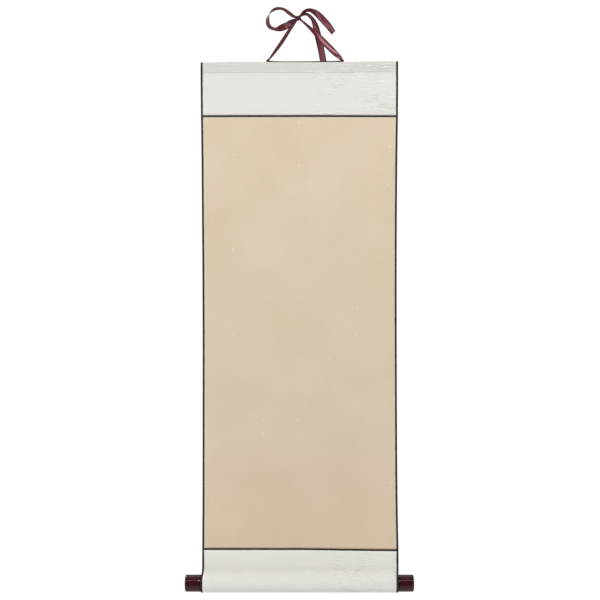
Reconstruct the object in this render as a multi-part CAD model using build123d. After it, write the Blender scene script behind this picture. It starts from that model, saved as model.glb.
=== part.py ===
from build123d import *
import math
import os

# A small blank hanging scroll: a backed paper panel between silk ends, folded round a top batten
# and wound on a bottom roller with two turned knobs, hung by one ribbon tied in a half bow.
# Millimetres. X runs across the scroll, Y runs back towards the wall, Z is up.
# The origin is the underside of the ribbon's knot, where the nail carries the scroll.

# Mounted sheet
sheet_width = 250.0
header_length = 67.7
panel_length = 547.7
footer_length = 53.4
divider_width = 2.6
face_thickness = 0.2
backing_thickness = 0.4
edging_width = 2.6
crease_radius = 1.6
paste_gap = 0.05

# Place of the sheet under the nail
hanging_drop = 52.6
sheet_centre = 1.8
batten_front = -4.0

# Top batten, a D section with its flat side to the front
batten_height = 14.2
batten_depth = 9.0
batten_front_radius = 1.5
batten_back_radius = 5.5
batten_end_inset = 0.6
batten_flap = 9.0

# Bottom roller
dowel_diameter = 19.0
turn_clearance = 0.45
sheet_turns = 2
roll_bend = 9.0

# Turned knobs on the roller's ends
knob_diameter = 21.2
knob_length = 20.8
knob_crown = 1.1
knob_bevel = 1.6
tenon_diameter = 10.0
tenon_length = 15.0
tenon_clearance = 0.1
bore_end_gap = 1.0

# Square wire staples that hold the ribbon to the batten, measured from the sheet's middle
staple_places = {"left_staple": -38.5, "right_staple": 53.5}
wire_width = 0.8
staple_half_width = 2.3
staple_rise = 2.6
staple_depth = 8.0
staple_clearance = 0.05

# Satin ribbon, and its gathered section where it is threaded through the staples
ribbon_width = 8.8
ribbon_thickness = 0.5
gathered_width = 3.2
gathered_thickness = 1.3
knot_width = 6.0
knot_depth = 8.0
knot_height = 6.4
knot_bevel = 1.4
hidden_tail = 40.0

# Centre lines of the bow, as X and Z from the nail seat, chosen by eye
bow_loop = [
    (-1.0, 4.6), (-9.0, 7.4), (-18.6, 13.2), (-28.0, 14.8), (-35.8, 10.4), (-39.2, 2.0),
    (-37.8, -7.0), (-30.6, -12.4), (-20.0, -11.0), (-9.0, -5.4), (-1.0, 1.8),
]
upper_tail = [(1.0, 5.0), (8.6, 10.2), (17.4, 11.6), (26.0, 7.4), (35.0, -1.2), (46.0, -17.0)]
lower_tail = [
    (1.0, 2.6), (8.6, 7.0), (15.8, 3.8), (21.4, -4.6), (26.4, -15.4), (28.6, -29.0), (31.6, -44.0),
]

# Sizes that follow from the ones above
laminate = backing_thickness + face_thickness
inner_gap = face_thickness + paste_gap
turn_pitch = laminate + face_thickness + turn_clearance
half_width = sheet_width / 2
dowel_radius = dowel_diameter / 2
first_turn_radius = dowel_radius + inner_gap
outer_turn_radius = first_turn_radius + (sheet_turns - 0.5) * turn_pitch
sheet_back = batten_front - inner_gap
flap_plane = sheet_back + 2 * face_thickness + paste_gap
batten_back = batten_front + batten_depth
header_top = -hanging_drop
batten_top = header_top - laminate - inner_gap
wrap_start = batten_top - batten_front_radius
upper_divider_top = header_top - header_length
panel_top = upper_divider_top - divider_width
lower_divider_top = panel_top - panel_length
footer_top = lower_divider_top - divider_width
roll_bottom = footer_top - footer_length
roller_y = sheet_back
roller_z = roll_bottom + first_turn_radius + (sheet_turns - 1) * turn_pitch + laminate
bend_lean = math.asin(roll_bend / (outer_turn_radius + roll_bend))
bend_top_z = roller_z + turn_pitch / 2 + (outer_turn_radius + roll_bend) * math.cos(bend_lean)
tail_plane = batten_back + inner_gap + laminate + ribbon_thickness
fold_radius = (wire_width * math.sqrt(2) + gathered_thickness) / 2 + paste_gap


def roll_moves():
    """The turns from the glued end outwards, then the wide bend where the sheet leaves the roll."""
    moves = []
    for turn in range(sheet_turns):
        back_radius = first_turn_radius + turn * turn_pitch
        moves.append(("wrap", back_radius, 180))
        if turn < sheet_turns - 1:
            moves.append(("wrap", back_radius + turn_pitch / 2, 180))
    moves.append(("wrap", outer_turn_radius, 180 - math.degrees(bend_lean)))
    moves.append(("bend", roll_bend, 90 - math.degrees(bend_lean)))
    return moves


def batten_moves():
    """Over the batten, round its back, and down behind the sheet as a glued flap."""
    front = batten_front_radius + inner_gap
    back = batten_back_radius + inner_gap
    underside = batten_back - batten_back_radius - flap_plane - crease_radius
    return [
        ("wrap", front, 90),
        ("straight", batten_depth - batten_front_radius - batten_back_radius),
        ("wrap", back, 90),
        ("straight", batten_height - 2 * batten_back_radius),
        ("wrap", back, 90),
        ("straight", underside),
        ("bend", crease_radius, 90),
        ("straight", batten_flap),
    ]


def trace(start, heading, moves, offset):
    """Edges of one skin of the sheet in its YZ profile, at a distance outside the inner face."""
    direction = Vector(*heading)
    point = Vector(*start) + direction.rotate(Axis.Z, 90) * offset
    edges = []
    for kind, *size in moves:
        if kind == "straight":
            edge = Line(point, point + direction * size[0])
        elif kind == "wrap":
            edge = JernArc(point, direction, size[0] + offset, -size[1])
        else:
            edge = JernArc(point, direction, size[0] - offset, size[1])
        point = edge @ 1
        direction = edge % 1
        edges.append(edge)
    return edges


def layer(path, inner, outer, x_from, x_to):
    """A layer of the sheet between two skins of one path, from one X to another."""
    near = trace(*path, inner)
    far = trace(*path, outer)
    caps = [Line(near[0] @ 0, far[0] @ 0), Line(near[-1] @ 1, far[-1] @ 1)]
    profile = make_face(near + far + caps)
    return Pos(x_from, 0, 0) * extrude(Plane.YZ * profile, x_to - x_from, dir=(1, 0, 0))


def roll_start():
    return (roller_y, roller_z + first_turn_radius)


def whole_path():
    straight = ("straight", wrap_start - bend_top_z)
    return roll_start(), (1, 0), roll_moves() + [straight] + batten_moves()


def header_path():
    straight = ("straight", wrap_start - upper_divider_top)
    return (sheet_back, upper_divider_top), (0, 1), [straight] + batten_moves()


def footer_path():
    straight = ("straight", footer_top - bend_top_z)
    return roll_start(), (1, 0), roll_moves() + [straight]


def staple_holes(clearance):
    """Square holes for the staples' legs, from above the sheet down into the batten."""
    bottom = header_top - staple_depth - clearance
    width = wire_width + 2 * clearance
    bit = Box(width, width, header_top - bottom, align=(Align.CENTER, Align.CENTER, Align.MIN))
    return [
        Pos(x, side * staple_half_width, bottom) * bit
        for x in staple_places.values()
        for side in (-1, 1)
    ]


def backing_paper():
    reach = half_width - face_thickness
    sheet = layer(whole_path(), 0, backing_thickness, -reach, reach)
    return sheet - staple_holes(2 * staple_clearance)


def face_piece(path):
    """A piece pasted on the front of the backing, between the two edgings."""
    reach = half_width - edging_width
    return layer(path, backing_thickness, laminate, -reach, reach)


def header_silk():
    return face_piece(header_path()) - staple_holes(2 * staple_clearance)


def footer_silk():
    return face_piece(footer_path())


def face_strip(top, length):
    return face_piece(((sheet_back, top - length), (0, 1), [("straight", length)]))


def edging(side):
    """A dark strip as thick as the face, beside it and folded round the backing's long edge."""
    outer_edge = side * half_width
    inner_edge = side * (half_width - edging_width)
    backing_edge = side * (half_width - face_thickness)
    folded = layer(whole_path(), -face_thickness, laminate, *sorted((outer_edge, inner_edge)))
    backing = layer(whole_path(), 0, backing_thickness, *sorted((backing_edge, inner_edge)))
    return folded - backing


def top_batten():
    section = Pos(batten_front + batten_depth / 2, batten_top - batten_height / 2) * Rectangle(
        batten_depth, batten_height
    )
    section = fillet(section.vertices().sort_by(Axis.X)[:2], batten_front_radius)
    section = fillet(section.vertices().sort_by(Axis.X)[-2:], batten_back_radius)
    length = sheet_width - 2 * batten_end_inset
    rod = extrude(Plane.YZ * section, length / 2, both=True)
    return rod - staple_holes(staple_clearance)


def staple(x):
    """One wire bent to an arch above the silk, with both legs driven into the batten."""
    top = header_top + staple_rise
    bottom = header_top - staple_depth
    path = FilletPolyline(
        (x, -staple_half_width, bottom),
        (x, -staple_half_width, top),
        (x, staple_half_width, top),
        (x, staple_half_width, bottom),
        radius=staple_half_width * 0.8,
    )
    return sweep(Plane(path @ 0, z_dir=path % 0) * Rectangle(wire_width, wire_width), path)


def roller_dowel():
    rod = Rot(0, 90, 0) * Cylinder(dowel_radius, sheet_width)
    bore_depth = tenon_length + bore_end_gap
    bore = Rot(0, 90, 0) * Cylinder(tenon_diameter / 2 + tenon_clearance, 2 * bore_depth)
    ends = [Pos(side * half_width, 0, 0) * bore for side in (-1, 1)]
    return Pos(0, roller_y, roller_z) * (rod - ends)


def turned_knob():
    """A knob turned about X, with its tenon towards -X and its crowned end towards +X."""
    radius = knob_diameter / 2
    tenon = tenon_diameter / 2
    rim = (knob_length - knob_crown, radius)
    outline = Polyline(
        (knob_length, 0), (-tenon_length, 0), (-tenon_length, tenon), (0, tenon), (0, radius), rim,
        close=True,
    )
    profile = make_face(outline)
    rim_corner = profile.vertices().sort_by_distance(Vector(*rim))[0]
    return revolve(chamfer(rim_corner, knob_bevel), Axis.X)


def end_knob(side):
    turned = turned_knob() if side > 0 else Rot(0, 0, 180) * turned_knob()
    return Pos(side * half_width, roller_y, roller_z) * turned


def corner_radii(points):
    """The largest arc that each corner of a hand-laid ribbon leaves room for."""
    radii = []
    for before, corner, after in zip(points, points[1:], points[2:]):
        arriving = Vector(*corner) - Vector(*before)
        leaving = Vector(*after) - Vector(*corner)
        half_turn = math.radians(arriving.get_angle(leaving) / 2)
        radii.append(0.45 * min(arriving.length, leaving.length) / math.tan(half_turn))
    return radii


def ribbon_band(name, plane, points, width_on_edge):
    """A flat band along a route in a plane, seen on its edge or on its face from the front."""
    radii = corner_radii(points)
    route = plane * FilletPolyline(*points, radius=radii)
    print(name, "length", round(route.length, 1), "corner radii", [round(r, 1) for r in radii])
    sizes = (ribbon_thickness, ribbon_width) if width_on_edge else (ribbon_width, ribbon_thickness)
    across = (route % 0).cross(plane.z_dir)
    section = Plane(route @ 0, x_dir=across, z_dir=route % 0) * Rectangle(*sizes)
    band = sweep(section, route)
    print("  volume", round(band.volume, 1), "of", round(route.length * sizes[0] * sizes[1], 1))
    return band


def ribbon_hanger():
    """Both legs and the run between the staples, gathered where it hooks under their arches."""
    run_z = header_top + paste_gap + gathered_thickness / 2
    knot_z = knot_height / 3
    rise = fold_radius * 1.05
    points = [(0, knot_z)]
    for x in staple_places.values():
        arch_x = sheet_centre + x
        leg_slant = math.atan2(abs(arch_x), knot_z - run_z)
        past_arch = fold_radius + (header_top + staple_rise - run_z - rise) * math.tan(leg_slant)
        fold_x = arch_x + math.copysign(past_arch, x)
        fold = [(fold_x, run_z + rise * (1 + math.tan(leg_slant / 2))), (fold_x, run_z)]
        points += fold if x < 0 else reversed(fold)
    points.append((0, knot_z))
    legs = FilletPolyline(*[(x, 0, z) for x, z in points], radius=fold_radius)
    section = Plane(legs @ 0, x_dir=(0, 1, 0), z_dir=legs % 0)
    strip = sweep(section * Rectangle(gathered_width, gathered_thickness), legs)
    print("legs and run length", round(legs.length, 1), "fold radius", fold_radius)
    return strip


def hanging_ribbon():
    """The whole ribbon: knot, legs, loop and both tails, the lower one hanging behind."""
    knot = Pos(0, 0, knot_height / 2) * Box(knot_width, knot_depth, knot_height)
    knot = chamfer(knot.edges(), knot_bevel)
    face_on = Plane.XZ
    upper_plane = Plane((0, -knot_depth / 4, 0), x_dir=(1, 0, 0), z_dir=(0, -1, 0))
    knot_back = knot_depth / 4
    back_lean = math.atan2(tail_plane - knot_back, hanging_drop)
    lower_plane = Plane(
        (0, knot_back, 0), x_dir=(1, 0, 0), z_dir=(0, -math.cos(back_lean), -math.sin(back_lean))
    )
    last_x = lower_tail[-1][0]
    hanging_end = -(hanging_drop + hidden_tail) / math.cos(back_lean)
    lower_points = lower_tail + [(last_x + 0.6, -hanging_drop), (last_x, hanging_end)]
    pieces = [
        ribbon_band("bow loop", face_on, bow_loop, True),
        ribbon_band("upper tail", upper_plane, upper_tail, False),
        ribbon_band("lower tail", lower_plane, lower_points, False),
        ribbon_hanger(),
    ]
    ribbon = knot
    for piece in pieces:
        ribbon += piece
    return ribbon


def save(name, shape):
    export_step(shape, f"parts/{name}.step")


def main():
    os.makedirs("parts", exist_ok=True)
    sheet_pieces = {
        "backing_paper": backing_paper(),
        "header_silk": header_silk(),
        "upper_divider": face_strip(upper_divider_top, divider_width),
        "paper_panel": face_strip(panel_top, panel_length),
        "lower_divider": face_strip(lower_divider_top, divider_width),
        "footer_silk": footer_silk(),
        "left_edging": edging(-1),
        "right_edging": edging(1),
        "top_batten": top_batten(),
        "roller_dowel": roller_dowel(),
        "left_knob": end_knob(-1),
        "right_knob": end_knob(1),
    }
    for name, x in staple_places.items():
        sheet_pieces[name] = staple(x)
    for name, shape in sheet_pieces.items():
        save(name, Pos(sheet_centre, 0, 0) * shape)
    save("hanging_ribbon", hanging_ribbon())


main()
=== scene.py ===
# %% [markdown]
# # A small blank hanging scroll
# The real object is one soft sheet: paper and silk pasted on backing paper, folded round a flat rod
# at the top and wound on a round rod at the bottom, and hung by a satin ribbon tied in a half bow.
# The rods and staples come from the CAD model as a fixed frame. The sheet and the ribbon, which
# bend, and the knobs, whose gloss shows every edge, are built here over it, so that each lies where
# the CAD says it does. Sizes are in millimetres until a mesh is made, and a mesh is in metres.

# %% Load the frame
import math
from functools import partial
import bpy
import numpy as np
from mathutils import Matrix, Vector


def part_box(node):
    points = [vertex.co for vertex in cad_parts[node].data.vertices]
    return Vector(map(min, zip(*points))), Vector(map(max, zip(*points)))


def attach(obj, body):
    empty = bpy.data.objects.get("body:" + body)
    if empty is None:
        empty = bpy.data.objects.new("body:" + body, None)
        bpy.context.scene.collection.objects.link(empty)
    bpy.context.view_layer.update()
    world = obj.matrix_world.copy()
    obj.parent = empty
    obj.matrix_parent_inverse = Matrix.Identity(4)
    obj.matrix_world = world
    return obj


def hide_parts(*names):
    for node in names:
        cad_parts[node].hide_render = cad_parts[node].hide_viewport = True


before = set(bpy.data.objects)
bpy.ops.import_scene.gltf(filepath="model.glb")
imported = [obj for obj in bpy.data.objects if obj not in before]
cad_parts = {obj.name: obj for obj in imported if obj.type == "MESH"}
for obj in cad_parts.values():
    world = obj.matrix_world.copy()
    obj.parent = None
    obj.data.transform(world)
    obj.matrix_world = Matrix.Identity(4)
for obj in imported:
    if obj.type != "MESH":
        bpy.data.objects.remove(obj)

bpy.context.view_layer.update()
MM = 0.001

# %% [markdown]
# ## The camera
# The photograph looks straight at the scroll, so nothing of its sides shows. A lens of about
# 70 mm from a metre and a half away gives the slight widening of the roll, which hangs nearer to
# the eye than the sheet does. The focal length follows from the width that the picture covers at
# the sheet, so distance and framing stay apart: moving the camera back changes only perspective.

# %% Place the camera
PICTURE_WIDTH = 762 * MM
CAMERA_DISTANCE = 1500 * MM
AIM_X = 2.5 * MM
AIM_Z = -355.2 * MM
SHEET_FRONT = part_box("paper_panel")[0].y


def put_in_scene(name, data):
    placed = bpy.data.objects.new(name, data)
    bpy.context.scene.collection.objects.link(placed)
    return placed


camera = put_in_scene("camera", bpy.data.cameras.new("camera"))
camera.location = (AIM_X, SHEET_FRONT - CAMERA_DISTANCE, AIM_Z)
camera.rotation_euler = (math.pi / 2, 0, 0)
camera.data.lens = camera.data.sensor_width * CAMERA_DISTANCE / PICTURE_WIDTH
camera.data.clip_end = 20  # metres, well past the edge of the floor
bpy.context.scene.camera = camera
print("lens", round(camera.data.lens, 1), "mm")

# %% [markdown]
# ## Making a mesh and giving it a place
# Ribbon, sheet and knobs are all built in the same way: rings of points laid one after another,
# with four-sided faces between each ring and the next. So one function makes those faces, and
# another turns points and faces into a smooth object. It can also lay out a UV map measured along
# the cloth. With the map in real sizes, a woven pattern follows the cloth round a roll unchanged.

# %% Make a piece
def ring_faces(count, size, closed=False, turned_over=False):
    """Faces between each ring and the next, and from the last to the first if the row is closed."""
    faces = []
    for i in range(count if closed else count - 1):
        a, b = i * size, (i + 1) % count * size
        for j in range(size):
            k = (j + 1) % size
            faces.append((a + j, b + j, b + k, a + k) if turned_over else (a + j, a + k, b + k, b + j))
    return faces


def end_faces(count, size, turned_over=False):
    """Faces across the first and the last ring, between the ring's two long sides."""
    last = (count - 1) * size
    first_end, last_end = [], []
    for j in range(size // 2 - 1):
        facing = size - 1 - j
        first_end.append((j, j + 1, facing - 1, facing) if turned_over else (j, facing, facing - 1, j + 1))
        last_end.append(tuple(last + k for k in reversed(first_end[-1])))
    return first_end + last_end


def step_lengths(points):
    return np.linalg.norm(np.diff(points, axis=0), axis=1)


def distances_along(points):
    """How far along a line of points each of them lies."""
    return np.concatenate([[0], np.cumsum(step_lengths(points))])


def make_piece(name, points, faces, material, cloth_places=None):
    mesh = bpy.data.meshes.new(name)
    mesh.from_pydata([tuple(p) for p in points], [], faces)
    mesh.shade_smooth()
    if cloth_places is not None:
        layer = mesh.uv_layers.new(name="cloth")
        corners = np.empty(len(mesh.loops), np.int32)
        mesh.loops.foreach_get("vertex_index", corners)
        layer.data.foreach_set("uv", np.asarray(cloth_places, np.float32)[corners].ravel())
    piece = put_in_scene(name, mesh)
    mesh.materials.append(material)
    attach(piece, "root")
    print(name, len(points), "points", len(faces), "faces")
    return piece


print("faces between two rings of four points", ring_faces(2, 4))

# %% [markdown]
# ## Colours and nodes
# Colours are written as the hex values that a picture editor shows, and one function turns them
# into the linear values that Blender mixes light in. Another adds a node with its settings and
# links. A material could be wired by hand, but as a recipe that adds its nodes in turn and returns
# the last one, it reads from top to bottom. In a Mix node of colours input 0 is the share, and 6
# and 7 are the two colours. Pattern sizes are in millimetres: a noise's scale is how many repeats
# fit in a metre, and a wave's is about a third of that.

# %% Colours, nodes and pattern sizes
def linear(hex_colour):
    channels = [int(hex_colour[i:i + 2], 16) / 255 for i in (1, 3, 5)]
    curve = [c / 12.92 if c <= 0.04045 else ((c + 0.055) / 1.055) ** 2.4 for c in channels]
    return (*curve, 1.0)


def add_node(tree, kind, inputs=None, **settings):
    """An input is a value, a hex colour, a socket, or a node for its first output in use."""
    made = tree.nodes.new("ShaderNode" + kind)
    for name, value in settings.items():
        setattr(made, name, value)
    for socket, value in (inputs or {}).items():
        if isinstance(value, str):
            value = linear(value)
        if isinstance(value, bpy.types.Node):
            value = next(output for output in value.outputs if output.enabled)
        if isinstance(value, bpy.types.NodeSocket):
            tree.links.new(value, made.inputs[socket])
        else:
            made.inputs[socket].default_value = value
    return made


def make_material(name, recipe, **sizes):
    material = bpy.data.materials.new(name)
    material.use_nodes = True
    material.node_tree.nodes.clear()
    add = partial(add_node, material.node_tree)
    add("OutputMaterial", {"Surface": recipe(add, **sizes)})
    print(name, "has", len(material.node_tree.nodes), "nodes")
    return material


def repeats(size_mm):
    return 1 / (size_mm * MM)


def wave_scale(period_mm):
    """Blender's wave texture repeats 20 / (2 pi) times in a unit at scale 1."""
    return 2 * math.pi / 20 / (period_mm * MM)


print("mid grey is", round(linear("#808080")[0], 3), "of white in linear light")

# %% [markdown]
# ## Lacquer and wire
# The knobs are turned wood under glossy red-brown lacquer. The lacquer could be one glossy paint,
# but real lacquer is a dark body colour, a little streaked along the grain, under a clear layer.
# So the body is matt here and a clear coat does the shining, stirred by very fine rings that the
# lathe left. The staples are plain drawn wire, dark with age, so they are metallic and half dull.

# %% Lacquer and wire
GRAIN_MM, GRAIN_STRETCH = 3.5, (0.25, 1, 1)
LATHE_RING_MM, LATHE_RELIEF = 0.754, 0.02 * MM


def lacquer(add):
    place = add("TexCoord").outputs["Object"]
    long_way = add("Mapping", {"Vector": place, "Scale": GRAIN_STRETCH})
    streaks = add("TexNoise", {"Vector": long_way, "Scale": repeats(GRAIN_MM), "Detail": 3.0})
    colour = add("Mix", {0: streaks, 6: "#2c070e", 7: "#430f18"}, data_type="RGBA")
    rings = add("TexWave", {"Vector": place, "Scale": wave_scale(LATHE_RING_MM)}, bands_direction="X")
    turned = add("Bump", {"Height": rings.outputs["Fac"], "Strength": 0.05, "Distance": LATHE_RELIEF})
    return add(
        "BsdfPrincipled",
        {"Base Color": colour, "Roughness": 0.5, "Specular IOR Level": 0.0,
         "Coat Weight": 0.8, "Coat Roughness": 0.14, "Coat IOR": 1.5, "Normal": turned},
    )


def dark_wire(add):
    return add("BsdfPrincipled", {"Base Color": "#4a4643", "Metallic": 1.0, "Roughness": 0.38})


def finish_cad_pieces(names, material):
    """Rods and wire stay as the CAD made them, and only get the real surface."""
    for name in names:
        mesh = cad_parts[name].data
        mesh.materials.clear()
        mesh.materials.append(material)
        print(name, material.name)


knob_lacquer = make_material("red_brown_lacquer", lacquer)
finish_cad_pieces(("left_staple", "right_staple"), make_material("dark_steel_wire", dark_wire))

# %% [markdown]
# ## Satin
# The ribbon is woven polyester satin. Its long floating threads all lie along it, so it shines in
# a band across the threads, and its woven edges are denser, darker and duller. A picture would do
# for a flat ribbon, but this one twists. So the gloss is stretched along the UV map's direction,
# and the edge is found in the map, which runs from 0 to 1 across the ribbon. The weft ribs are a
# third of a millimetre apart and are drawn coarser.

# %% Satin
FLOAT_STREAKS = (110, 9, 1)  # to a metre of ribbon, and across its width
RIB_MM, RIB_RELIEF = 1.18375, 0.05 * MM
WOVEN_EDGE = (0.33, 0.41)  # distance from the ribbon's middle, as a share of its width


def satin(add):
    cloth = add("UVMap", uv_map="cloth")
    parts = add("SeparateXYZ", {"Vector": cloth})
    middle = add("Math", {0: parts.outputs["Y"], 1: 0.5}, operation="SUBTRACT")
    from_middle = add("Math", {0: middle}, operation="ABSOLUTE")
    woven_edge = add(
        "MapRange",
        {"Value": from_middle, "From Min": WOVEN_EDGE[0], "From Max": WOVEN_EDGE[1]},
        interpolation_type="SMOOTHSTEP",
    )
    floats = add("Mapping", {"Vector": cloth, "Scale": FLOAT_STREAKS})
    streaks = add("TexNoise", {"Vector": floats, "Scale": 1.0, "Detail": 3.0})
    body = add("Mix", {0: streaks, 6: "#4a1720", 7: "#7d3440"}, data_type="RGBA")
    colour = add("Mix", {0: woven_edge, 6: body, 7: "#1e1113"}, data_type="RGBA")
    lengthwise = add("Tangent", direction_type="UV_MAP", uv_map="cloth")
    ribs = add("Mapping", {"Vector": cloth, "Scale": (wave_scale(RIB_MM), 0, 0)})
    rib_wave = add("TexWave", {"Vector": ribs, "Scale": 1.0})
    relief = add("Bump", {"Height": rib_wave.outputs["Fac"], "Strength": 0.15, "Distance": RIB_RELIEF})
    matter_edge = add("MapRange", {"Value": woven_edge, "To Min": 0.32, "To Max": 0.75})
    return add(
        "BsdfPrincipled",
        {"Base Color": colour, "Roughness": matter_edge, "IOR": 1.55,
         "Specular IOR Level": 0.9, "Specular Tint": "#ffc4cc", "Anisotropic": 0.7,
         "Sheen Weight": 0.12, "Sheen Roughness": 0.35, "Sheen Tint": "#d08088",
         "Tangent": lengthwise, "Normal": relief},
    )


ribbon_satin = make_material("polyester_satin", satin)

# %% [markdown]
# ## The ribbon's route
# One length of 9 mm satin makes the whole hanger: a cut end, the knot, the left leg, the run
# between the two staples, the right leg, the loop, and the second end that hangs down behind the
# scroll. A cloth simulation would tie some bow, but not this one, so the line is a smooth NURBS one
# along listed points. Each point also says how far the ribbon is turned from facing the
# viewer, how far it is curled across its width, and how tightly it is pleated, because a ribbon
# can't get narrower: where the knot or a staple pinches it, it gathers in pleats.

# %% Lay out the ribbon
RIBBON_WIDTH = 8.8
RIBBON_THICKNESS = 0.35

# X, Y and Z in millimetres from the nail, then turn, curl and pleat in degrees.
ribbon_points = [
    (45.0, -2.6, -15.6, -46, 40, 0),
    (41.1, -2.4, -9.6, -32, 30, 0),
    (36.6, -2.2, -3.9, -22, 25, 0),
    (32.0, -2.1, 1.0, -14, 25, 0),
    (26.6, -2.0, 6.9, -24, 30, 0),
    (20.8, -2.0, 11.2, -46, 40, 0),
    (14.2, -1.8, 13.6, -62, 60, 0),
    (8.4, -1.6, 12.2, -66, 80, 30),
    (4.4, -1.4, 8.9, -74, 60, 80),
    (1.2, -1.3, 5.2, -84, 40, 105),
    (-1.6, -1.6, 1.4, -80, 40, 105),
    (-5.4, -2.2, -4.4, -68, 50, 60),
    (-9.8, -2.6, -11.0, -62, 50, 10),
    (-16.4, -2.2, -21.4, -60, 50, 0),
    (-24.2, -1.2, -33.0, -61, 50, 0),
    (-32.2, -0.4, -43.2, -70, 60, 30),
    (-37.4, 0.0, -49.0, -85, 40, 90),
    (-39.6, 0.0, -50.6, -100, 20, 108),
    (-38.6, 0.0, -51.6, -103, 0, 108),
    (-33.6, 0.0, -51.9, -103, 0, 80),
    (-24.0, 0.0, -52.1, -103, 10, 20),
    (-4.0, 0.0, -52.2, -103, 10, 0),
    (16.0, 0.0, -52.0, -103, 10, 0),
    (36.0, 0.0, -51.8, -103, 10, 0),
    (49.0, 0.0, -51.6, -103, 0, 60),
    (55.4, 0.0, -51.4, -103, 0, 108),
    (57.6, 0.0, -50.9, -106, 20, 108),
    (56.4, 0.0, -49.4, -112, 40, 90),
    (53.0, -0.2, -46.6, -130, 60, 40),
    (48.4, -0.4, -42.4, -140, 50, 0),
    (43.4, -0.5, -37.2, -150, 40, 0),
    (38.2, -0.6, -32.0, -152, 35, 0),
    (32.8, -0.7, -26.7, -154, 35, 0),
    (27.4, -0.7, -21.4, -150, 40, 0),
    (21.6, -0.7, -15.6, -130, 60, 0),
    (15.6, -0.6, -9.8, -116, 60, 20),
    (8.4, -0.4, -2.6, -108, 40, 40),
    (2.4, -0.2, 3.0, -110, 40, 100),
    (-1.6, -0.1, 5.4, -84, 40, 105),
    (-5.2, 0.0, 5.8, -62, 50, 60),
    (-9.6, 0.0, 8.2, -61, 60, 10),
    (-14.0, 0.0, 11.6, -62, 60, 0),
    (-18.4, 0.0, 14.6, -70, 80, 0),
    (-22.8, 0.0, 16.0, -70, 30, 0),
    (-28.0, 0.0, 15.9, -68, 20, 0),
    (-32.6, 0.0, 13.6, -74, 20, 0),
    (-36.6, 0.0, 9.2, -92, 40, 0),
    (-38.7, 0.0, 3.4, -118, 20, 0),
    (-38.6, 0.0, -2.4, -125, 20, 0),
    (-36.6, 0.1, -6.6, -122, 20, 0),
    (-33.0, 0.2, -9.0, -114, 20, 0),
    (-28.2, 0.4, -10.0, -114, 40, 0),
    (-22.9, 0.6, -8.8, -150, 30, 0),
    (-17.2, 0.9, -6.8, -190, 30, 0),
    (-12.2, 1.2, -4.4, -202, 40, 0),
    (-7.4, 1.6, -1.0, -172, 80, 30),
    (-2.6, 1.6, 2.4, -130, 60, 100),
    (1.0, 1.4, 5.0, -110, 40, 105),
    (5.0, 1.2, 8.2, -106, 50, 70),
    (10.4, 1.2, 10.4, -110, 70, 20),
    (15.2, 1.7, 7.8, -116, 70, 0),
    (19.4, 2.1, 3.2, -122, 70, 0),
    (22.1, 2.5, -3.6, -142, 60, 0),
    (23.4, 2.9, -9.8, -164, 50, 0),
    (25.4, 3.5, -17.4, -170, 30, 0),
    (27.7, 4.2, -26.6, -166, 20, 0),
    (30.2, 5.2, -38.4, -158, 10, 0),
    (32.6, 6.4, -52.0, -158, 10, 0),
    (32.8, 8.0, -72.0, -168, 20, 0),
    (32.2, 9.2, -92.0, -176, 20, 0),
]


def smooth_line(rows):
    """The rows as control points of a NURBS line, and the points that Blender draws it through."""
    curve = bpy.data.curves.new("route", "CURVE")
    curve.dimensions = "3D"
    spline = curve.splines.new("NURBS")
    spline.points.add(len(rows) - 1)
    for point, row in zip(spline.points, rows):
        point.co = (*row, 1)
    spline.order_u = 3
    spline.use_endpoint_u = True
    spline.resolution_u = 8
    holder = bpy.data.objects.new("route", curve)
    drawn = bpy.data.meshes.new_from_object(holder)
    line = np.array([v.co for v in drawn.vertices], float)
    bpy.data.meshes.remove(drawn)
    bpy.data.objects.remove(holder)
    bpy.data.curves.remove(curve)
    return line


ribbon_line = smooth_line([row[:3] for row in ribbon_points])
ribbon_manner = smooth_line([row[3:] for row in ribbon_points])

# %% [markdown]
# ## The ribbon's surface
# Blender can give a curve a flat bevel, but such a band can't curl or pleat. So each section here
# is a line as long as the ribbon is wide, and its direction is bent along the way: evenly for a
# curl, to and fro for pleats. Only directions change, so the cloth keeps its width whether it lies
# flat or is gathered. The line gets a small thickness, a little more at the woven edges, and the
# sections are stacked along the route into one clean mesh.

# %% Build the ribbon
ACROSS = 26
PLEATS = 1.5
BOW_MIDDLE = np.array([0, 0, -15 * MM])
EDGE_SWELL = 0.7  # how much thicker the woven edge is
EDGE_STARTS, EDGE_GROWS = 0.84, 0.1  # shares of the half width
towards_viewer = np.array(camera.location) - BOW_MIDDLE
towards_viewer /= np.linalg.norm(towards_viewer)


def ribbon_section(curl, pleat, grow):
    """Across and outward distances of one side of the section, from one edge to the other."""
    share = np.linspace(-1, 1, ACROSS + 1)
    bend = -np.radians(curl) / 2 * share + np.radians(pleat) * np.sin(PLEATS * math.pi * share)
    step = RIBBON_WIDTH / ACROSS
    middle_bend = (bend[1:] + bend[:-1]) / 2
    across = np.concatenate([[0], np.cumsum(np.cos(middle_bend))]) * step
    out = np.concatenate([[0], np.cumsum(np.sin(middle_bend))]) * step
    thick = grow * (1 + EDGE_SWELL * np.clip((np.abs(share) - EDGE_STARTS) / EDGE_GROWS, 0, 1))
    return across - across.mean() - thick * np.sin(bend), out - out.mean() + thick * np.cos(bend)


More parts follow.
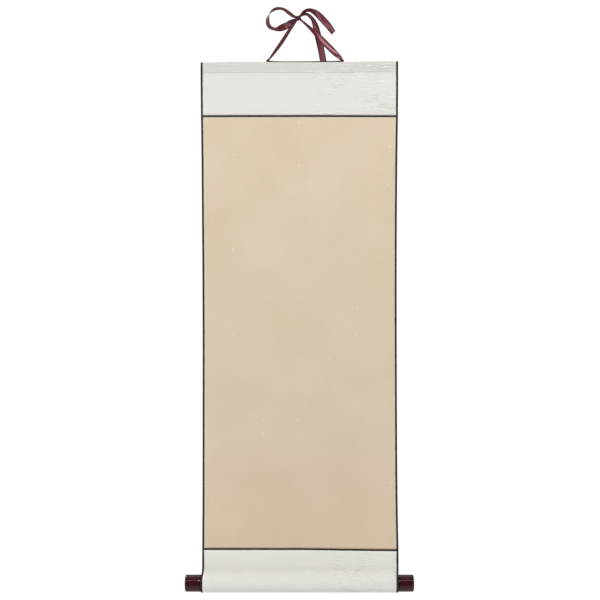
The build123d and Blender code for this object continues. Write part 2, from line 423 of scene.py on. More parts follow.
def ribbon_mesh(line, manner):
    along = np.gradient(line, axis=0)
    along /= np.linalg.norm(along, axis=1)[:, None]
    places = distances_along(line) * MM
    points, cloth = [], []
    for centre, direction, (turn, curl, pleat), place in zip(line, along, manner, places):
        sideways = np.cross(towards_viewer, direction)
        sideways /= np.linalg.norm(sideways)
        outward = np.cross(direction, sideways)
        angle = math.radians(turn)
        width_way = math.cos(angle) * sideways + math.sin(angle) * outward
        face_way = math.cos(angle) * outward - math.sin(angle) * sideways
        for grow, order in ((RIBBON_THICKNESS / 2, 1), (-RIBBON_THICKNESS / 2, -1)):
            across, out = ribbon_section(curl, pleat, grow)
            ring = centre + across[:, None] * width_way + out[:, None] * face_way
            points.extend(ring[::order])
            cloth.extend((place, v) for v in np.linspace(0, 1, ACROSS + 1)[::order])
    size = 2 * (ACROSS + 1)
    faces = ring_faces(len(line), size, turned_over=True) + end_faces(len(line), size, turned_over=True)
    return np.array(points) * MM, faces, cloth


points, faces, cloth = ribbon_mesh(ribbon_line, ribbon_manner)
ribbon = make_piece("satin_ribbon", points, faces, ribbon_satin, cloth)
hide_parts("hanging_ribbon")

# %% [markdown]
# ## The knot
# Where the strands cross, one turn of the same ribbon is pulled tight round them. The ribbon's line
# could make that turn too, but so tight a bend would cut through itself. So the knot is a short
# closed band round the bundle of strands, puffed out a little where the cloth is folded.

# %% Tie the knot
KNOT_CENTRE = np.array([0.0, 0.0, 3.8])
KNOT_AXIS = np.array([0.66, 0.0, 0.75])
KNOT_RADII = (2.3, 3.2)
KNOT_BAND = 5.2
KNOT_THICKNESS = 0.6  # the cloth lies double here
KNOT_PUFF = 0.5
KNOT_SKEW, SKEW_START = 0.5, 0.6
FOLD_DEPTH, FOLD_WAVES = 0.22, 9
KNOT_SHADE_EDGE = 0.12  # the band's map stays in the dark woven edge, as painted shade in the knot's tight folds
KNOT_MAP_RADIUS = 3
KNOT_COLUMNS, AROUND = 10, 40


def knot_band():
    axis = KNOT_AXIS / np.linalg.norm(KNOT_AXIS)
    back = np.array([0.0, 1.0, 0.0])
    side = np.cross(back, axis)
    share = np.linspace(-1, 1, KNOT_COLUMNS + 1)
    points, cloth = [], []
    for i in range(AROUND):
        turn = 2 * math.pi * i / AROUND
        out = math.cos(turn) * side * KNOT_RADII[0] + math.sin(turn) * back * KNOT_RADII[1]
        out_way = out / np.linalg.norm(out)
        middle = KNOT_CENTRE + out + KNOT_SKEW * math.sin(turn + SKEW_START) * axis
        folds = FOLD_DEPTH * np.cos(share * FOLD_WAVES + turn)
        for grow, order in ((KNOT_THICKNESS / 2, 1), (-KNOT_THICKNESS / 2, -1)):
            puff = (KNOT_PUFF + folds) * (1 - share ** 2) + grow
            ring = middle + np.outer(share * KNOT_BAND / 2, axis) + np.outer(puff, out_way)
            points.extend(ring[::order])
            cloth.extend((turn * KNOT_MAP_RADIUS * MM, v) for v in (np.abs(share) * KNOT_SHADE_EDGE)[::order])
    return np.array(points) * MM, ring_faces(AROUND, 2 * len(share), closed=True), cloth


points, faces, cloth = knot_band()
knot = make_piece("ribbon_knot", points, faces, ribbon_satin, cloth)

# %% [markdown]
# ## The sheet's sizes
# The sheet must fit the rods it is folded round, so its heights and widths are read from the CAD
# pieces and not typed again. A box can't tell how thick a layer is or how tightly the sheet is
# wound, so those sizes are named here, and the turns on the roller follow from both.

# %% Read the sheet's sizes from the CAD
def extent(node, axis):
    """The two ends of a CAD piece along an axis, in millimetres."""
    return [getattr(corner, axis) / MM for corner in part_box(node)]


HEADER_TOP = extent("header_silk", "z")[1]
PANEL_BOTTOM, PANEL_TOP = extent("paper_panel", "z")
UPPER_LINE = extent("upper_divider", "z")
LOWER_LINE = extent("lower_divider", "z")
ROLL_BOTTOM = extent("footer_silk", "z")[0]
LEFT_EDGE, RIGHT_EDGE = extent("left_edging", "x")[0], extent("right_edging", "x")[1]
HALF_WIDTH = (RIGHT_EDGE - LEFT_EDGE) / 2
MIDDLE = (RIGHT_EDGE + LEFT_EDGE) / 2
BATTEN_FRONT, BATTEN_BACK = extent("top_batten", "y")
BATTEN_BOTTOM, BATTEN_TOP = extent("top_batten", "z")
DOWEL_BOTTOM, DOWEL_TOP = extent("roller_dowel", "z")
ROLLER_Z = (DOWEL_TOP + DOWEL_BOTTOM) / 2
SHEET_BACK = sum(extent("roller_dowel", "y")) / 2

# What a box doesn't tell, in millimetres.
FACE = 0.2  # silk, panel or edging on the backing
BACKING = 0.4
LAMINATE = FACE + BACKING
INNER_GAP = 0.25  # between the backing and the rods
TURN_GAP = 0.45  # between one turn and the next
EDGING = 2.6
ROLL_BEND = 9.0
FRONT_ROUND = 1.5  # the batten's corners
BACK_ROUND = 5.5
FLAP_CREASE = 1.6
FLAP_LENGTH = 9.0
GLUE = 0.05
POCKET_RISE = 0.6  # the pocket is pressed in this far above the batten's underside

PITCH = LAMINATE + FACE + TURN_GAP
FIRST_TURN = (DOWEL_TOP - DOWEL_BOTTOM) / 2 + INNER_GAP
TURNS = round((ROLLER_Z - ROLL_BOTTOM - FIRST_TURN - LAMINATE) / PITCH) + 1
OUTER_TURN = FIRST_TURN + (TURNS - 0.5) * PITCH
LEAN = math.degrees(math.asin(ROLL_BEND / (OUTER_TURN + ROLL_BEND)))
BEND_TOP = ROLLER_Z + PITCH / 2 + (OUTER_TURN + ROLL_BEND) * math.cos(math.radians(LEAN))
WRAP_START = HEADER_TOP - LAMINATE - INNER_GAP - FRONT_ROUND
FLAP_PLANE = SHEET_BACK + 2 * FACE + GLUE
POCKET_EDGE = HEADER_TOP - LAMINATE - INNER_GAP - (BATTEN_TOP - BATTEN_BOTTOM) + POCKET_RISE
print("turns", TURNS, "bend ends at", round(BEND_TOP, 2), "pocket at", round(POCKET_EDGE, 2), "mm")

# %% [markdown]
# ## The sheet's profile
# Seen from its end, the whole sheet is one line: two turns on the roller, a wide bend, a long
# straight run, over the rod at the top, and a short flap glued down behind. The line could be
# drawn as a curve by hand, but a list of moves, straight on, round a rod or bending away from it,
# keeps its radii true. Each layer of the laminate is then the same walk at a different distance
# from it, so layers can never cross.

# %% Walk the profile
STEP = 2.5
FINE_STEP = 0.25
FINE_REACH = 3  # above and below the pocket's edge, where the sheet bends sharply
ARC_STEP = 6.0  # degrees


def walk(start, heading_degrees, moves):
    """Points of the inner face and the way outwards from it, all along the moves.

    A move is a straight with its length and step, or an arc with its radius and degrees."""
    point, angle = np.array(start, float), math.radians(heading_degrees)
    rows = [(point, angle)]
    for kind, size, detail in moves:
        if kind == "straight":
            count = max(1, round(size / detail))
            for _ in range(count):
                point = point + np.array([math.cos(angle), math.sin(angle)]) * size / count
                rows.append((point, angle))
            continue
        side = 1 if kind == "bend" else -1
        centre = point + side * size * np.array([-math.sin(angle), math.cos(angle)])
        count = max(2, round(detail / ARC_STEP))
        for _ in range(count):
            angle += side * math.radians(detail / count)
            point = centre - side * size * np.array([-math.sin(angle), math.cos(angle)])
            rows.append((point, angle))
    points = np.array([p for p, _ in rows])
    outward = np.array([(-math.sin(a), math.cos(a)) for _, a in rows])
    return points, outward


def roll_moves():
    moves = []
    for turn in range(TURNS):
        moves.append(("wrap", FIRST_TURN + turn * PITCH, 180))
        if turn < TURNS - 1:
            moves.append(("wrap", FIRST_TURN + (turn + 0.5) * PITCH, 180))
    return moves + [("wrap", OUTER_TURN, 180 - LEAN), ("bend", ROLL_BEND, 90 - LEAN)]


def up_to_batten(low):
    """Straight up from a height to the batten, in fine steps where the pocket ends."""
    return [
        ("straight", POCKET_EDGE - FINE_REACH - low, STEP),
        ("straight", 2 * FINE_REACH, FINE_STEP),
        ("straight", WRAP_START - POCKET_EDGE - FINE_REACH, STEP),
    ]


def round_batten():
    depth, height = BATTEN_BACK - BATTEN_FRONT, BATTEN_TOP - BATTEN_BOTTOM
    underside = SHEET_BACK + INNER_GAP + depth - BACK_ROUND - FLAP_PLANE - FLAP_CREASE
    return [
        ("wrap", FRONT_ROUND + INNER_GAP, 90),
        ("straight", depth - FRONT_ROUND - BACK_ROUND, STEP),
        ("wrap", BACK_ROUND + INNER_GAP, 90),
        ("straight", height - 2 * BACK_ROUND, STEP),
        ("wrap", BACK_ROUND + INNER_GAP, 90),
        ("straight", underside, STEP),
        ("bend", FLAP_CREASE, 90),
        ("straight", FLAP_LENGTH, STEP),
    ]


def walk_length(walked):
    return float(step_lengths(walked[0]).sum())


roll_start = (SHEET_BACK, ROLLER_Z + FIRST_TURN)
whole_walk = walk(roll_start, 0, roll_moves() + up_to_batten(BEND_TOP) + round_batten())
header_walk = walk((SHEET_BACK, UPPER_LINE[1]), 90, up_to_batten(UPPER_LINE[1]) + round_batten())
footer_walk = walk(roll_start, 0, roll_moves() + [("straight", LOWER_LINE[0] - BEND_TOP, STEP)])
ROLLED_LENGTH = walk_length(walk(roll_start, 0, roll_moves()))


def place_on_sheet(z):
    """How far up the whole sheet a height on its straight part lies, from its glued end."""
    return ROLLED_LENGTH + z - BEND_TOP


SHEET_LENGTH = walk_length(whole_walk)
print("profile rows", len(whole_walk[0]), "length", round(SHEET_LENGTH, 1), "mm")

# %% [markdown]
# ## Figured silk
# The two ends are silk damask: one off-white thread, woven so that curling clouds float over the
# ground and catch the light differently. A picture of them would blur close up, so nodes draw
# them. Rings round the points of two lattices make the cloud heads, level waves make the wisps,
# one noise bends them all and another breaks them into patches. The figure is in low relief and
# shows its level threads where the ground shows its upright ones, and its colour is a little
# lighter, as painted sheen, strongest on the right. A thread of about 0.3 mm is too fine to show,
# so it is drawn at 0.5 mm. A colour ramp along the sheet paints shade: the silk over the batten is
# greyer, and a darker, warmer band where the roll turns up into the bend stands for shade and warm
# bounce light there.

# %% Figured silk
CLOUD_ACROSS, CLOUD_UP = 34 * MM, 25 * MM
HEAD_FLATTENED = (1, 2.1, 0)
HEAD_REACH = (9 * MM, 11 * MM)  # full inside the first, gone outside the second
FIGURE_LINE_MM = 4.4
DRIFT_MM, DRIFT_SHIFT = 21, (22 * MM, 13 * MM, 0)
PATCH_MM, PATCH_STRETCH = 10, (0.55, 1, 1)
FIGURE_PATCH_MM = 45
SHEEN_SIDE_ACROSS = (-20 * MM, 70 * MM)
RELIEF = 0.65 * MM
THREAD_MM, THREAD_RELIEF = 0.5, 0.03 * MM

# The silk's tone at heights in millimetres: the roll, the footer, the header, and the batten. The darker,
# warmer stops where the roll turns up into the bend are painted shade and warm bounce light, and the
# greyer stop over the batten is painted shade.
SILK_TONES_AND_SHADE = [
    (-723, "#f0f0ec"), (-709, "#e6e4dc"), (-701, "#e3e0d5"), (-690, "#efece2"), (-676, "#f0eee9"),
    (-120, "#e6e4e0"), (POCKET_EDGE - 1, "#e4e2de"), (POCKET_EDGE + 1, "#d6d4cf"),
]


def cloud_heads(add, cloth, shift):
    """Rings round every point of a lattice, flattened as woven clouds are."""
    moved = add("VectorMath", {0: cloth, 1: shift}, operation="ADD")
    corner = (CLOUD_ACROSS / 2, CLOUD_UP / 2, 1)
    cell = add("VectorMath", {0: moved, 1: corner, 2: tuple(-v for v in corner)}, operation="WRAP")
    wide = add("VectorMath", {0: cell, 1: HEAD_FLATTENED}, operation="MULTIPLY")
    rings = add(
        "TexWave", {"Vector": wide, "Scale": wave_scale(FIGURE_LINE_MM)},
        wave_type="RINGS", rings_direction="SPHERICAL",
    )
    reach = add("VectorMath", {0: wide}, operation="LENGTH")
    inside = add("MapRange", {"Value": reach, "From Min": HEAD_REACH[1], "From Max": HEAD_REACH[0]})
    return add("Math", {0: rings.outputs["Fac"], 1: inside}, operation="MULTIPLY")


def figured_silk(add, tones):
    cloth = add("UVMap", uv_map="cloth")
    drift = add("TexNoise", {"Vector": cloth, "Scale": repeats(DRIFT_MM), "Detail": 3.0})
    bent = add(
        "VectorMath", {0: drift.outputs["Color"], 1: DRIFT_SHIFT, 2: cloth}, operation="MULTIPLY_ADD",
    )
    heads = add(
        "Math",
        {0: cloud_heads(add, bent, (0, 0, 0)),
         1: cloud_heads(add, bent, (CLOUD_ACROSS / 2, CLOUD_UP / 2, 0))},
        operation="MAXIMUM",
    )
    wisps = add(
        "TexWave",
        {"Vector": bent, "Scale": wave_scale(FIGURE_LINE_MM), "Distortion": 1.5, "Detail Scale": 1.2},
        bands_direction="Y",
    )
    stretched = add("Mapping", {"Vector": cloth, "Scale": PATCH_STRETCH})
    patches = add("TexNoise", {"Vector": stretched, "Scale": repeats(PATCH_MM), "Detail": 3.0})
    broken = add("MapRange", {"Value": patches, "From Min": 0.47, "From Max": 0.54})
    both = add("Math", {0: heads, 1: wisps.outputs["Fac"]}, operation="MAXIMUM")
    drifting = add("Math", {0: both, 1: broken}, operation="MULTIPLY")
    figure = add(
        "MapRange", {"Value": drifting, "From Min": 0.4, "From Max": 0.92},
        interpolation_type="SMOOTHSTEP",
    )
    # Painted sheen: the figure's lighter colour, and its relief with it, is full on the right and fades to
    # about a sixth on the left, as light raking from the right would show it; a noise breaks it into
    # patches.
    sides = add("SeparateXYZ", {"Vector": cloth})
    figure_patch_noise = add("TexNoise", {"Vector": cloth, "Scale": repeats(FIGURE_PATCH_MM), "Detail": 1.0})
    sheen_and_relief_side = add(
        "MapRange",
        {"Value": sides.outputs["X"],
         "From Min": SHEEN_SIDE_ACROSS[0], "From Max": SHEEN_SIDE_ACROSS[1], "To Min": 0.16},
        interpolation_type="SMOOTHSTEP",
    )
    patchy = add("MapRange", {"Value": figure_patch_noise, "From Min": 0.38, "From Max": 0.62, "To Min": 0.25})
    relief = add("Math", {0: sheen_and_relief_side, 1: patchy}, operation="MULTIPLY")
    figure_sheen_and_relief = add("Math", {0: figure, 1: relief}, operation="MULTIPLY")
    # The ramp paints shade: darker and warmer where the roll turns up into the bend, greyer over the
    # batten.
    along = add("MapRange", {"Value": sides.outputs["Y"], "From Max": SHEET_LENGTH * MM})
    tone = add("ValToRGB", {"Fac": along})
    stops = tone.color_ramp.elements
    while len(stops) < len(tones):
        stops.new(1.0)
    for stop, (height, hex_colour) in zip(stops, tones):
        stop.position = place_on_sheet(height) / SHEET_LENGTH
        stop.color = linear(hex_colour)
    # Painted sheen: the figure is mixed towards a lighter colour.
    colour = add("Mix", {0: figure_sheen_and_relief, 6: tone, 7: "#f4f2ed"}, data_type="RGBA")
    warp, weft = (
        add(
            "TexWave",
            {"Vector": cloth, "Scale": wave_scale(THREAD_MM), "Distortion": 0.6, "Detail Scale": 0.3},
            bands_direction=way,
        )
        for way in "XY"
    )
    threads = add("Mix", {0: figure, 2: warp.outputs["Fac"], 3: weft.outputs["Fac"]}, data_type="FLOAT")
    grain = add("Bump", {"Height": threads, "Strength": 1.0, "Distance": THREAD_RELIEF})
    shaded = add("MapRange", {"Value": threads, "To Min": 0.97, "To Max": 1.01})
    threaded = add("VectorMath", {0: colour, "Scale": shaded}, operation="SCALE")
    low_relief = add("Bump", {"Height": figure_sheen_and_relief, "Strength": 1.0, "Distance": RELIEF, "Normal": grain})
    return add(
        "BsdfPrincipled",
        {"Base Color": threaded, "Roughness": 0.62, "IOR": 1.45,
         "Specular IOR Level": 0.35, "Sheen Weight": 0.10, "Sheen Roughness": 0.4,
         "Normal": low_relief},
    )


silk = make_material("figured_silk_damask", figured_silk, tones=SILK_TONES_AND_SHADE)

# %% [markdown]
# ## Sized paper for the panel
# The panel is mulberry paper toned beige and sized with alum, so ink doesn't spread. It is matt,
# so roughness is high, with clouds of tone where the fibres lie thicker, and here and there a pale
# fibre. A scan of paper would do too, but nodes stay sharp at any distance: two noises give the
# clouds and the fibre mottle, a few cells of a Voronoi pattern are kept as flecks, and near the
# roll the paper has aged a little redder.

# %% Toned mulberry paper
CLOUD_MM = 80
FIBRE_MM, FIBRE_RELIEF = 2.6, 0.10 * MM
FLECK_CELL_MM = 40
FLECK_REACH = (0.014, 0.028)  # shares of a cell
FLECK_RARITY = 0.80
REDDEST, NOT_RED = -650, -500  # heights on the sheet


def toned_paper(add):
    cloth = add("UVMap", uv_map="cloth")
    clouds = add("TexNoise", {"Vector": cloth, "Scale": repeats(CLOUD_MM), "Detail": 3.0})
    broad = add("Mix", {0: clouds, 6: "#d5c4a8", 7: "#e3d3bb"}, data_type="RGBA")
    fibres = add(
        "TexNoise", {"Vector": cloth, "Scale": repeats(FIBRE_MM), "Detail": 4.0, "Roughness": 0.6},
    )
    mottle = add(
        "MapRange",
        {"Value": fibres, "From Min": 0.3, "From Max": 0.7, "To Min": 0.98, "To Max": 1.016},
    )
    toned = add("VectorMath", {0: broad, "Scale": mottle}, operation="SCALE")
    along = add("SeparateXYZ", {"Vector": cloth})
    higher_up = add(
        "MapRange",
        {"Value": along.outputs["Y"],
         "From Min": place_on_sheet(REDDEST) * MM, "From Max": place_on_sheet(NOT_RED) * MM},
        interpolation_type="SMOOTHSTEP",
    )
    warmth = add("Mix", {0: higher_up, 6: "#fffcfa", 7: "#ffffff"}, data_type="RGBA")
    aged = add("VectorMath", {0: toned, 1: warmth}, operation="MULTIPLY")
    cells = add(
        "TexVoronoi", {"Vector": cloth, "Scale": repeats(FLECK_CELL_MM)}, voronoi_dimensions="2D",
    )
    chance = add("SeparateColor", {"Color": cells.outputs["Color"]})
    rare = add("Math", {0: chance, 1: FLECK_RARITY}, operation="GREATER_THAN")
    small = add(
        "MapRange",
        {"Value": cells.outputs["Distance"],
         "From Min": FLECK_REACH[0], "From Max": FLECK_REACH[1], "To Min": 1.0, "To Max": 0.0},
    )
    fleck = add("Math", {0: rare, 1: small}, operation="MULTIPLY")
    colour = add("Mix", {0: fleck, 6: aged, 7: "#efe6d6"}, data_type="RGBA")
    tooth = add("Bump", {"Height": fibres, "Strength": 0.18, "Distance": FIBRE_RELIEF})
    return add(
        "BsdfPrincipled",
        {"Base Color": colour, "Roughness": 0.85, "IOR": 1.5, "Specular IOR Level": 0.25,
         "Normal": tooth},
    )


paper = make_material("toned_mulberry_paper", toned_paper)

# %% [markdown]
# ## Plain papers and wood
# The edging and the two dividing lines are strips of dyed paper, matt and brown to almost black.
# The back of the sheet is plain white paper brushed on with paste, so it is faintly streaked. The
# rods are raw softwood, with a grain that runs along them. Each could have a recipe of its own,
# but all are a soft change between two tones with a little relief, so they share one: a noise,
# stretched the way that the fibres or the brush ran, with each material's own size and colours.

# %% Papers and wood
def mottled(add, dark, light, size_mm, stretch, roughness, relief_mm):
    place = add("TexCoord").outputs["Object"]
    long_way = add("Mapping", {"Vector": place, "Scale": stretch})
    noise = add(
        "TexNoise", {"Vector": long_way, "Scale": repeats(size_mm), "Detail": 4.0, "Roughness": 0.6},
    )
    colour = add("Mix", {0: noise, 6: dark, 7: light}, data_type="RGBA")
    bump = add("Bump", {"Height": noise, "Strength": 0.3, "Distance": relief_mm * MM})
    return add(
        "BsdfPrincipled", {"Base Color": colour, "Roughness": roughness, "IOR": 1.5, "Normal": bump},
    )


line_paper = make_material(
    "dyed_line_paper", mottled, dark="#2b2521", light="#3b332d",
    size_mm=2.0, stretch=(1, 1, 1), roughness=0.75, relief_mm=0.05,
)
edging_paper = make_material(
    "dyed_edging_paper", mottled, dark="#15110e", light="#231d18",
    size_mm=2.0, stretch=(1, 1, 1), roughness=0.8, relief_mm=0.05,
)
backing = make_material(
    "pasted_backing_paper", mottled, dark="#dcd8cd", light="#e8e4db",
    size_mm=9.0, stretch=(1, 1, 0.12), roughness=0.85, relief_mm=0.10,
)
softwood = make_material(
    "raw_softwood", mottled, dark="#b8966a", light="#d2b488",
    size_mm=2.2, stretch=(0.05, 1, 1), roughness=0.65, relief_mm=0.08,
)
finish_cad_pieces(("top_batten", "roller_dowel"), softwood)

# %% [markdown]
# ## How the sheet really hangs
# A paper sheet is never a perfect plane. Its long edges dry tighter than its middle, so between
# the two rods it draws in and its edges lean back; the lines pasted across it aren't quite level;
# faint waves run through it; and the silk stands a little off the batten and is pressed in under
# it. Cloth simulation would give some such shape, but not this sheet's. So one function moves each
# place on the flat sheet, and every layer uses it, which keeps the layers together.

# %% Let the sheet hang
# Height of a place on the sheet, then how far its left and its right edge are drawn in there.
DRAWN_IN = [
    (-728, 0.0, 0.0), (-706, 0.0, 0.0), (-701, 1.0, -0.8), (-695, 1.4, -0.9), (-668, 1.4, -0.8),
    (-620, 1.4, -0.2), (-560, 1.5, 0.4), (-470, 1.6, 0.8), (-400, 1.6, 1.0), (-330, 1.3, 1.1),
    (-250, 0.7, 0.8), (-180, 0.2, 0.2), (-120, -0.3, -0.3), (-72, -0.6, -0.4), (0, -0.6, -0.4),
]
LEAN_BACK, LEAN_CURVE = 5.0, 2.2
# Depth of each wave, millimetres across and up for one radian of it, and where it starts.
WAVES = [(0.35, 47, 83, 0.6), (0.22, 29, -131, 2.1)]
RIPPLE_DEPTH, RIPPLE_WIDTH, RIPPLE_START = 0.10, 11.5, 0.8
# Heights between which each change comes in and goes out again.
FREE_HEIGHTS = (-690, -600, -190, -80)
RIPPLE_HEIGHTS = (-700, -680, -660, -610)
TILT_HEIGHTS = (-700, -672, -668, -560)
SWELL_HEIGHTS = (POCKET_EDGE, POCKET_EDGE + 1.4, POCKET_EDGE + 4, WRAP_START)
LOOSE_IN_FRONT = (-100, POCKET_EDGE)
LOOSE_BEHIND = (POCKET_EDGE + 2, WRAP_START)
SWELL = 0.35
GROOVE, GROOVE_WIDTH = 0.40, 0.55
# How far a line moves up, and the places across between which it comes to that.
LINE_RISE, LINE_TILT, TILT_ACROSS = 0.4, -1.5, (-10, 120)
TOP_RISE, RIGHT_RISE, RIGHT_ACROSS = 0.2, 0.9, (55, 100)
LEFT_SAG, LEFT_ACROSS = -0.6, (-85, -122)


def eased(value, start, end):
    share = np.clip((value - start) / (end - start), 0, 1)
    return share * share * (3 - 2 * share)


def between(value, start, full, fading, end):
    return eased(value, start, full) * (1 - eased(value, fading, end))


def hang(x, y, z):
    """Where a point of the flat sheet really is, in millimetres, with x from the sheet's middle."""
    heights, left, right = np.array(DRAWN_IN).T
    across = x / HALF_WIDTH
    drawn = np.where(across < 0, np.interp(z, heights, left), -np.interp(z, heights, right))

    free = between(z, *FREE_HEIGHTS)
    waves = sum(depth * np.sin(x / per_x + z / per_z + start) for depth, per_x, per_z, start in WAVES)
    off_plane = (LEAN_BACK * np.abs(across) ** LEAN_CURVE + waves) * free
    ripples = RIPPLE_DEPTH * np.sin(x / RIPPLE_WIDTH + RIPPLE_START)
    off_plane += ripples * between(z, *RIPPLE_HEIGHTS)

    in_front = y < SHEET_BACK + LAMINATE / 2
    groove = GROOVE * np.exp(-((z - POCKET_EDGE) / GROOVE_WIDTH) ** 2)
    off_plane += np.where(in_front, groove - SWELL * between(z, *SWELL_HEIGHTS), 0)

    higher = (LINE_RISE + LINE_TILT * eased(x, *TILT_ACROSS)) * between(z, *TILT_HEIGHTS)
    loose_top = TOP_RISE + RIGHT_RISE * eased(x, *RIGHT_ACROSS) + LEFT_SAG * eased(x, *LEFT_ACROSS)
    higher += loose_top * np.where(in_front, eased(z, *LOOSE_IN_FRONT), eased(z, *LOOSE_BEHIND))
    return x + drawn * np.abs(across), y + off_plane, z + higher


edge = hang(-HALF_WIDTH, SHEET_BACK, (PANEL_TOP + PANEL_BOTTOM) / 2)
print("the left edge half way up hangs at", [round(float(v), 1) for v in edge], "mm")

# %% [markdown]
# ## Backing, silk, panel and lines
# The layers are laid on the backing as a mounter pastes them: silk at both ends, the panel between
# them and a thin dark line at each join. One painted sheet would look the same from the front, but
# each layer here is a very thin closed solid, as real paper is, so the joins, the roll and the cut
# edges also look right edge-on and from behind.

# %% Paste the layers
COLUMNS = 64
FACE_REACH = HALF_WIDTH - EDGING


def flat_section(reach, inner, outer):
    return [((x, outer), (x, inner)) for x in np.linspace(-reach, reach, COLUMNS + 1)]


def laminate_piece(name, walked, starts_at, section, material):
    """A layer swept along its walk. The section is pairs of outer and inner (x, distance)."""
    rows, outward = walked
    steps = starts_at + distances_along(rows)
    outer, inner = zip(*section)
    ring = np.array(outer + inner[::-1])
    x = np.broadcast_to(ring[:, 0], (len(rows), len(ring)))
    flat = rows[:, None, :] + outward[:, None, :] * ring[None, :, 1:2]
    placed = np.stack(hang(x, flat[..., 0], flat[..., 1]), axis=-1)
    placed[..., 0] += MIDDLE
    cloth = np.stack([x, np.broadcast_to(steps[:, None], x.shape)], axis=-1)
    faces = ring_faces(len(rows), len(ring)) + end_faces(len(rows), len(ring))
    return make_piece(name, placed.reshape(-1, 3) * MM, faces, material, cloth.reshape(-1, 2) * MM)


face = flat_section(FACE_REACH, BACKING, LAMINATE)
whole = flat_section(HALF_WIDTH - FACE, 0, BACKING)


def face_strip(name, low, high, material, slot):
    walked = walk((SHEET_BACK, low), 90, [("straight", high - low, STEP)])
    return laminate_piece(name, walked, place_on_sheet(low), face, material)


backing_sheet = laminate_piece("backing_sheet", whole_walk, 0, whole, backing)
silk_footer = laminate_piece("silk_footer", footer_walk, 0, face, silk)
lower_line = face_strip("lower_line", *LOWER_LINE, line_paper, "dark_paper")
panel = face_strip("blank_panel", PANEL_BOTTOM, PANEL_TOP, paper, "panel")
upper_line = face_strip("upper_line", *UPPER_LINE, line_paper, "dark_paper")
header_start = place_on_sheet(UPPER_LINE[1])
silk_header = laminate_piece("silk_header", header_walk, header_start, face, silk)

# %% [markdown]
# ## Edging
# A narrow dark strip is folded over each long edge, front and back, so the cut edge never shows.
# A dark stripe in the paper's colour would do from the front, but not where the roll's end shows
# every turn. So its section is a U laid on its side, and it follows the whole profile: up the
# sheet, over the rod, and round the roll, where it draws the dark ring at each end.

# %% Fold the edging
EDGE_ROUND = 0.2
PAPER_INSIDE = 0.02


def edging_section(side):
    corner_x = HALF_WIDTH - EDGE_ROUND
    pairs = [((FACE_REACH, LAMINATE), (FACE_REACH, BACKING))]
    for centre, angles in ((BACKING, (90, 60, 30, 0)), (0.0, (0, -30, -60, -90))):
        for angle in np.radians(angles):
            way = np.array([math.cos(angle), math.sin(angle)])
            middle = np.array([corner_x, centre])
            pairs.append((tuple(middle + way * EDGE_ROUND), tuple(middle + way * PAPER_INSIDE)))
    pairs.append(((FACE_REACH, -FACE), (FACE_REACH, 0.0)))
    if side > 0:
        return pairs
    return [((-a[0], a[1]), (-b[0], b[1])) for a, b in pairs][::-1]


edgings = [
    laminate_piece(name, whole_walk, 0, edging_section(side), edging_paper)
    for name, side in (("edging_left", -1), ("edging_right", 1))
]

for piece, node in (
    (backing_sheet, "backing_paper"), (silk_header, "header_silk"), (silk_footer, "footer_silk"),
    (panel, "paper_panel"), (upper_line, "upper_divider"), (lower_line, "lower_divider"),
    (edgings[0], "left_edging"), (edgings[1], "right_edging"),
):
    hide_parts(node)

hung_from = ["top_batten"]
for piece, length, rests_on in (
    (silk_header, walk_length(header_walk), hung_from),
    (silk_footer, walk_length(footer_walk), ["roller_dowel"]),
    (panel, PANEL_TOP - PANEL_BOTTOM, [backing_sheet.name]),
):
    print(piece.name, "cut", round(2 * FACE_REACH, 1), "by", round(length, 1), "mm")

# %% [markdown]
# ## Roller knobs
# Each knob is turned on a lathe, so its shape is one line spun round an axis. A cylinder with a
# bevel would be close, as the CAD knob is. But glossy lacquer shows a rounded rim as a soft bright
# edge, so the line has that rim and a shallow dome. The tenon that is glued into the rod is part of
# the same piece.

# %% Turn the knobs
TENON_RADIUS = 5.0
TENON_BEVEL = 0.5
SHOULDER_BEVEL = 0.3
RIM, DOME = 1.7, 0.9
SIDE_RINGS = (0.3, 0.6)  # shares of the length
RIM_ANGLES = np.radians(np.linspace(0, 80, 9))
DOME_SHARES = np.linspace(0.15, 1, 8)
KNOB_AROUND = 72
AXIS_GAP = 0.01  # the last ring isn't closed to a point, so its faces stay sound


def knob_outline(length, radius, tenon_length):
    """Distance along the axis and from it: tenon, shoulder, side, rounded rim and dome."""
    outline = [
        (-tenon_length, 0.0), (-tenon_length, TENON_RADIUS - TENON_BEVEL),
        (-tenon_length + TENON_BEVEL, TENON_RADIUS), (0.0, TENON_RADIUS),
        (0.0, radius - SHOULDER_BEVEL), (SHOULDER_BEVEL, radius),
        *((length * share, radius) for share in SIDE_RINGS),
    ]
    for angle in RIM_ANGLES:
        along = length - DOME - RIM + RIM * math.sin(angle)
        outline.append((along, radius - RIM + RIM * math.cos(angle)))
    rim_end, rim_radius = outline[-1]
    for share in DOME_SHARES:
        along = rim_end + (length - rim_end) * math.sin(share * math.pi / 2)
        outline.append((along, rim_radius * (1 - share)))
    return outline


def turned_knob(name, node, side):
    bottom, top = extent(node, "z")
    axis_y, axis_z = sum(extent(node, "y")) / 2, (top + bottom) / 2
    shoulder = MIDDLE + side * HALF_WIDTH
    tenon_end, tip = extent(node, "x")[::side]
    outline = knob_outline(abs(tip - shoulder), (top - bottom) / 2, abs(tenon_end - shoulder))
    points = []
    for along, radius in outline:
        radius = max(radius, AXIS_GAP)
        for i in range(KNOB_AROUND):
            angle = 2 * math.pi * i / KNOB_AROUND
            points.append((
                shoulder + side * along,
                axis_y + radius * math.cos(angle),
                axis_z + radius * math.sin(angle) * side,
            ))
    faces = ring_faces(len(outline), KNOB_AROUND, turned_over=True)
    faces.append(tuple(range(KNOB_AROUND)))
    faces.append(tuple(reversed(range(len(points) - KNOB_AROUND, len(points)))))
    knob = make_piece(name, np.array(points) * MM, faces, knob_lacquer)
    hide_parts(node)


turned_knob("knob_left", "left_knob", -1)
turned_knob("knob_right", "right_knob", 1)

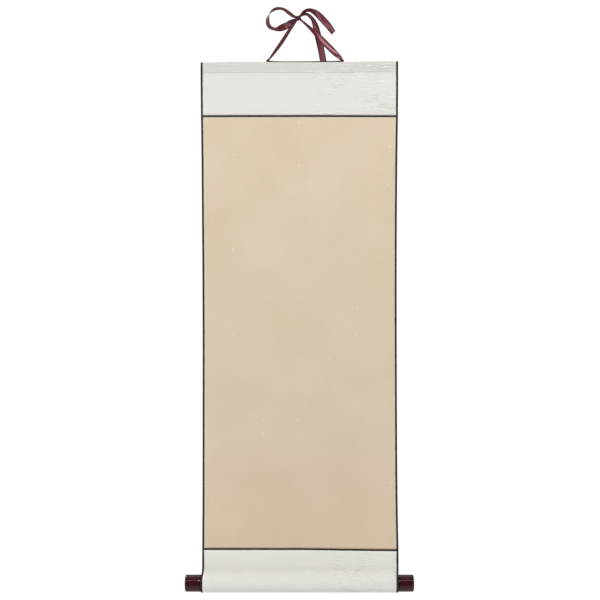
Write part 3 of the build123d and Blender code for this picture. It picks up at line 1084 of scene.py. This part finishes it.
# %% [markdown]
# ## Studio lamps
# The photograph is a studio picture on white. One lamp would throw a hard shadow and leave a side
# dull. Two walls of light at the sides give the sheet its even tone instead, and two softboxes high
# in front bring out the silk's relief and the ribbon's gloss. A strip overhead draws the thin
# bright line along the knobs. The lamps behind light the back, the ribbon's turned faces and the
# top of the knobs; they stand high, so that the ribbon doesn't mirror them.

# %% Hang the lamps
def soft_lamp(name, place, aim, size, power):
    lamp = bpy.data.lights.new(name, "AREA")
    lamp.shape = "RECTANGLE"
    lamp.size, lamp.size_y = size
    lamp.energy = power
    holder = put_in_scene(name, lamp)
    holder.location = place
    holder.rotation_mode = "QUATERNION"
    holder.rotation_quaternion = (Vector(place) - Vector(aim)).to_track_quat("Z", "Y")


SCROLL_MIDDLE = (0, -0.1, AIM_Z)
ROLLER = (0, 0, ROLLER_Z * MM)
WALL_AIM = (0, -0.6, -0.45)
# Name, place, what it aims at, width and height in metres, and power in watts.
for lamp_row in (
    ("left_wall", (-1.6, -0.6, -0.45), WALL_AIM, (1.9, 2.4), 25),
    ("right_wall", (1.6, -0.6, -0.45), WALL_AIM, (1.9, 2.4), 20),
    ("key_softbox", (0.95, -1.2, 0.85), SCROLL_MIDDLE, (0.7, 0.7), 14.5),
    ("fill_softbox", (-1.05, -1.2, 0.7), SCROLL_MIDDLE, (0.6, 0.6), 8.5),
    ("top_strip", (0, -1.25, 0.78), ROLLER, (0.9, 0.08), 1.9),
    ("overhead", (0, -0.1, 1.3), (0, 0, 0), (0.9, 1.0), 1.3),
    ("back_softbox", (-1.2, 1.3, 1.6), SCROLL_MIDDLE, (0.9, 0.9), 37),
    ("back_strip", (0, 1.1, 0.75), ROLLER, (0.9, 0.45), 3.2),
):
    soft_lamp(*lamp_row)
print("lamps", len(bpy.data.lights))

# %% [markdown]
# ## White background and floor
# The background is pure white to the camera but dim as a source of light, so the picture's ground
# is clean while the lacquer still has something dark to mirror. The floor is a pale painted sweep.
# A real one curves up to a white wall; here it fades to the same white away from the scroll, which
# leaves no horizon from any side.

# %% Paint background and floor
WHITE = 1.05  # a little over one, so it stays white in the picture
WORLD_LIGHT = 0.12
# The floor's sizes are in metres.
FLOOR_Z = -1.65
FLOOR_REACH = 6.0
FLOOR_FADE = (0.5, 1.9)

world = bpy.data.worlds.new("white_studio")
bpy.context.scene.world = world
world.use_nodes = True
world.node_tree.nodes.clear()
add = partial(add_node, world.node_tree)
seen = add("LightPath").outputs["Is Camera Ray"]
strength = add("MapRange", {"Value": seen, "To Min": WORLD_LIGHT, "To Max": WHITE})
white = add("Background", {"Color": (1, 1, 1, 1), "Strength": strength})
add("OutputWorld", {"Surface": white})


def studio_floor(add):
    place = add("TexCoord").outputs["Object"]
    away = add("VectorMath", {0: place}, operation="LENGTH")
    fades = add(
        "MapRange", {"Value": away, "From Min": FLOOR_FADE[0], "From Max": FLOOR_FADE[1]},
        interpolation_type="SMOOTHSTEP",
    )
    seen = add("LightPath").outputs["Is Camera Ray"]
    share = add("Math", {0: fades, 1: seen}, operation="MULTIPLY")
    paint = add(
        "BsdfPrincipled",
        {"Base Color": "#e4e3e0", "Roughness": 0.8, "Specular IOR Level": 0.2},
    )
    white = add("Emission", {"Strength": WHITE})
    return add("MixShader", {0: share, 1: paint, 2: white})


floor_mesh = bpy.data.meshes.new("floor")
corners = [(x * FLOOR_REACH, y * FLOOR_REACH, 0) for x, y in ((-1, -1), (1, -1), (1, 1), (-1, 1))]
floor_mesh.from_pydata(corners, [], [(0, 1, 2, 3)])
floor_mesh.materials.append(make_material("painted_studio_floor", studio_floor))
floor = put_in_scene("floor", floor_mesh)
floor.location.z = FLOOR_Z
bpy.context.scene.view_settings.view_transform = "Standard"
print("floor at", FLOOR_Z, "m, world nodes", len(world.node_tree.nodes))

# %% Finish
bpy.context.view_layer.update()
